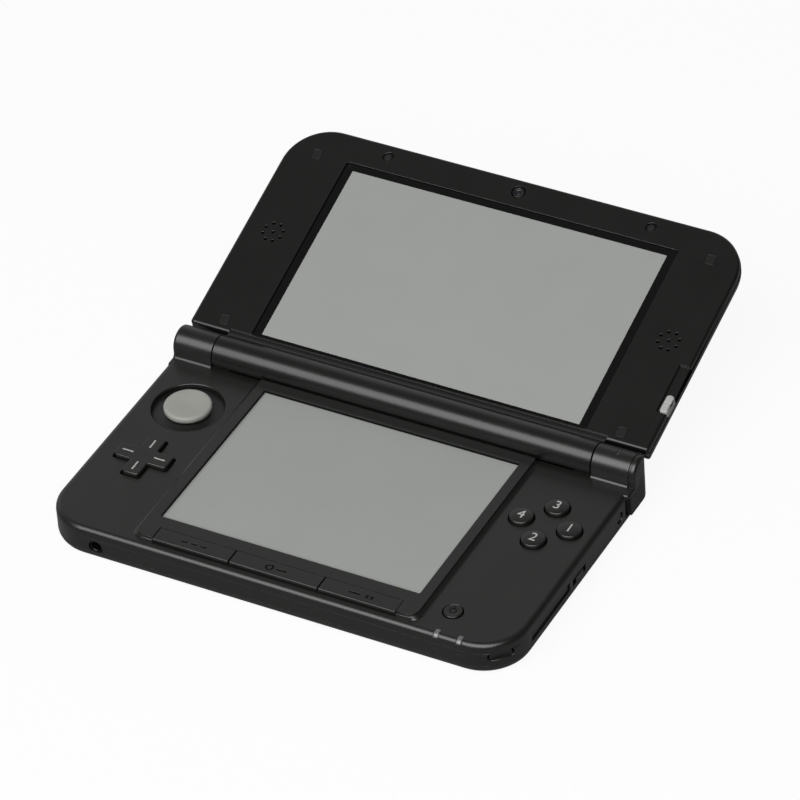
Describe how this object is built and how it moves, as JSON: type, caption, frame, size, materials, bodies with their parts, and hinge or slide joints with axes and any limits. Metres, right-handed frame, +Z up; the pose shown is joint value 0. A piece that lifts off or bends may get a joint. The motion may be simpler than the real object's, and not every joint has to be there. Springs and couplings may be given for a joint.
{
  "type": "clamshell handheld game console",
  "caption": "Folding handheld console: a base with touch screen, slide pad, cross, buttons, ports and stylus, and a hinged lid with a wide screen, speakers and cameras.",
  "frame": {"origin": "centre of the base's flat underside", "axes": "+X to the player's right along the hinge, +Y away from the player towards the hinge, +Z up out of the control deck"},
  "size_m": [0.1564, 0.1714, 0.0409],
  "materials": {
    "black_plastic": "satin, very fine texture",
    "bezel_plastic": "satin, very fine texture",
    "gloss_black": "gloss",
    "black_rubber": "matte",
    "screen_face": "smooth, switched off",
    "pad_gray": "soft matte",
    "slider_gray": "satin",
    "clear_plastic": "clear, gloss",
    "steel": "brushed",
    "display_module": "module with metal backing",
    "circuit_board": "solder mask",
    "battery_wrap": "wrapped cell"
  },
  "bodies": {
    "base": {"bottom_cover": "black_plastic", "bottom_case": "black_plastic", "top_case": "black_plastic", "screen_surround": "black_plastic", "touch_panel": "screen_face", "lower_lcd": "display_module", "main_board": "circuit_board", "battery_pack": "battery_wrap", "slide_pad_guide": "black_plastic", "dpad_membrane": "black_rubber", "face_button_membrane": "black_rubber", "front_key_membrane": "black_rubber", "sd_card_reader": "steel", "game_card_reader": "steel", "headphone_jack": "gloss_black", "charge_socket": "steel", "ir_window": "gloss_black", "power_light_guide": "clear_plastic", "charge_light_guide": "clear_plastic", "notification_light_guide": "clear_plastic", "wireless_light_guide": "clear_plastic", "left_hinge_pin": "steel", "right_hinge_clutch": "steel", "left_cover_screw": "steel", "right_cover_screw": "steel"},
    "lid": {"lid_front_bezel": "bezel_plastic", "lid_rear_cover": "black_plastic", "upper_screen_lens": "screen_face", "upper_lcd": "display_module", "left_speaker": "steel", "right_speaker": "steel", "inner_camera": "gloss_black", "left_outer_camera": "gloss_black", "right_outer_camera": "gloss_black", "top_left_screw_cover": "black_rubber", "top_right_screw_cover": "black_rubber", "bottom_left_screw_cover": "black_rubber", "bottom_right_screw_cover": "black_rubber", "left_bumper": "black_rubber", "right_bumper": "black_rubber"},
    "depth_slider": {"depth_slider": "slider_gray"},
    "slide_pad_cross_slider": {"slide_pad_cross_slider": "black_plastic"},
    "slide_pad_cap": {"slide_pad_cap": "pad_gray"},
    "dpad_pivot": {"dpad_pivot": "black_plastic"},
    "dpad": {"dpad": "black_plastic"},
    "face_button_1": {"face_button_1": "black_plastic"},
    "face_button_2": {"face_button_2": "black_plastic"},
    "face_button_3": {"face_button_3": "black_plastic"},
    "face_button_4": {"face_button_4": "black_plastic"},
    "select_button": {"select_button": "black_plastic"},
    "home_button": {"home_button": "black_plastic"},
    "start_button": {"start_button": "black_plastic"},
    "power_button": {"power_button": "black_plastic"},
    "left_shoulder_button": {"left_shoulder_button": "gloss_black"},
    "right_shoulder_button": {"right_shoulder_button": "gloss_black"},
    "volume_slider": {"volume_slider": "black_plastic"},
    "wireless_switch": {"wireless_switch": "black_plastic"},
    "stylus": {"stylus": "black_plastic"},
    "sd_card_door": {"sd_card_door": "black_plastic"}
  },
  "joints": [
    {"name": "lid_hinge", "type": "hinge", "parent": "base", "child": "lid", "pos_m": [0, 0.04045, 0.01405], "axis": [1, 0, 0], "range_deg": [0, 162.3]},
    {"name": "depth_slide", "type": "slide", "parent": "lid", "child": "depth_slider", "axis": [0, 0.9529, 0.3032], "range_m": [0, 0.0109]},
    {"name": "slide_pad_sideways", "type": "slide", "parent": "base", "child": "slide_pad_cross_slider", "axis": [1, 0, 0], "range_m": [-0.0025, 0.0025], "stiffness_N_per_m": 400},
    {"name": "slide_pad_lengthways", "type": "slide", "parent": "slide_pad_cross_slider", "child": "slide_pad_cap", "axis": [0, 1, 0], "range_m": [-0.0025, 0.0025], "stiffness_N_per_m": 400},
    {"name": "dpad_rock_lengthways", "type": "hinge", "parent": "base", "child": "dpad_pivot", "pos_m": [-0.0619, -0.01055, 0.0096], "axis": [1, 0, 0], "range_deg": [-2.5, 2.5], "stiffness_Nm_per_rad": 0.17},
    {"name": "dpad_rock_sideways", "type": "hinge", "parent": "dpad_pivot", "child": "dpad", "pos_m": [-0.0619, -0.01055, 0.0096], "axis": [0, 1, 0], "range_deg": [-2.5, 2.5], "stiffness_Nm_per_rad": 0.17},
    {"name": "face_button_1_press", "type": "slide", "parent": "base", "child": "face_button_1", "axis": [0, 0, -1], "range_m": [0, 0.0008], "stiffness_N_per_m": 1200},
    {"name": "face_button_2_press", "type": "slide", "parent": "base", "child": "face_button_2", "axis": [0, 0, -1], "range_m": [0, 0.0008], "stiffness_N_per_m": 1200},
    {"name": "face_button_3_press", "type": "slide", "parent": "base", "child": "face_button_3", "axis": [0, 0, -1], "range_m": [0, 0.0008], "stiffness_N_per_m": 1200},
    {"name": "face_button_4_press", "type": "slide", "parent": "base", "child": "face_button_4", "axis": [0, 0, -1], "range_m": [0, 0.0008], "stiffness_N_per_m": 1200},
    {"name": "select_press", "type": "slide", "parent": "base", "child": "select_button", "axis": [0, 0, -1], "range_m": [0, 0.0004], "stiffness_N_per_m": 2500},
    {"name": "home_press", "type": "slide", "parent": "base", "child": "home_button", "axis": [0, 0, -1], "range_m": [0, 0.0004], "stiffness_N_per_m": 2500},
    {"name": "start_press", "type": "slide", "parent": "base", "child": "start_button", "axis": [0, 0, -1], "range_m": [0, 0.0004], "stiffness_N_per_m": 2500},
    {"name": "power_press", "type": "slide", "parent": "base", "child": "power_button", "axis": [0, 0, -1], "range_m": [0, 0.0004], "stiffness_N_per_m": 2500},
    {"name": "left_shoulder_press", "type": "hinge", "parent": "base", "child": "left_shoulder_button", "pos_m": [-0.0592, 0.0446, 0.0076], "axis": [0, 0, 1], "range_deg": [0, 1.8], "stiffness_Nm_per_rad": 0.5},
    {"name": "right_shoulder_press", "type": "hinge", "parent": "base", "child": "right_shoulder_button", "pos_m": [0.0592, 0.0446, 0.0076], "axis": [0, 0, -1], "range_deg": [0, 1.8], "stiffness_Nm_per_rad": 0.5},
    {"name": "volume_slide", "type": "slide", "parent": "base", "child": "volume_slider", "axis": [0, 1, 0], "range_m": [-0.003, 0.003]},
    {"name": "wireless_switch_slide", "type": "slide", "parent": "base", "child": "wireless_switch", "axis": [0, 1, 0], "range_m": [-0.0016, 0.0016], "stiffness_N_per_m": 600},
    {"name": "stylus_draw", "type": "slide", "parent": "base", "child": "stylus", "axis": [1, 0, 0], "range_m": [0, 0.068]},
    {"name": "sd_door_swing", "type": "hinge", "parent": "base", "child": "sd_card_door", "pos_m": [0.0769, -0.0301, 0.0058], "axis": [0, 0, -1], "range_deg": [0, 95]}
  ]
}
